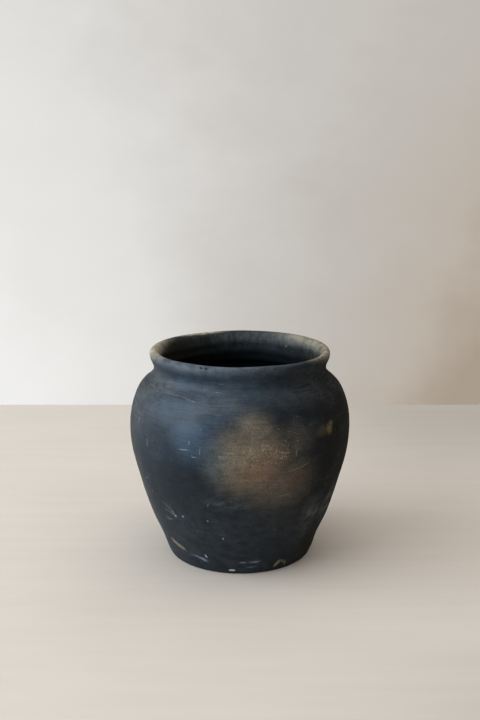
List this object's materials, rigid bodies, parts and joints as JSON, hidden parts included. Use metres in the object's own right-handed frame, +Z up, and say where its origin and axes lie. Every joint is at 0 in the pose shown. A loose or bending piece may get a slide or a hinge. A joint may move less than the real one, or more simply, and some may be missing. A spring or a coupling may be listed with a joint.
{
  "type": "clay pot",
  "caption": "Round wide-mouthed pot of smoke-blackened clay, with a flat base, full belly, short neck and rolled lip, for plants, flowers or storage.",
  "frame": {"origin": "centre of the flat base, on the surface that the pot stands on", "axes": "+Z up along the pot's axis; -Y towards the side that carries the large fire cloud"},
  "size_m": [0.2188, 0.2188, 0.2077],
  "materials": {
    "smoked_clay": "unglazed smoke-blackened earthenware, rubbed to a soft satin, with brown fire clouds and fine scratches"
  },
  "bodies": {
    "root": {"clay_pot": "smoked_clay"}
  },
  "joints": []
}
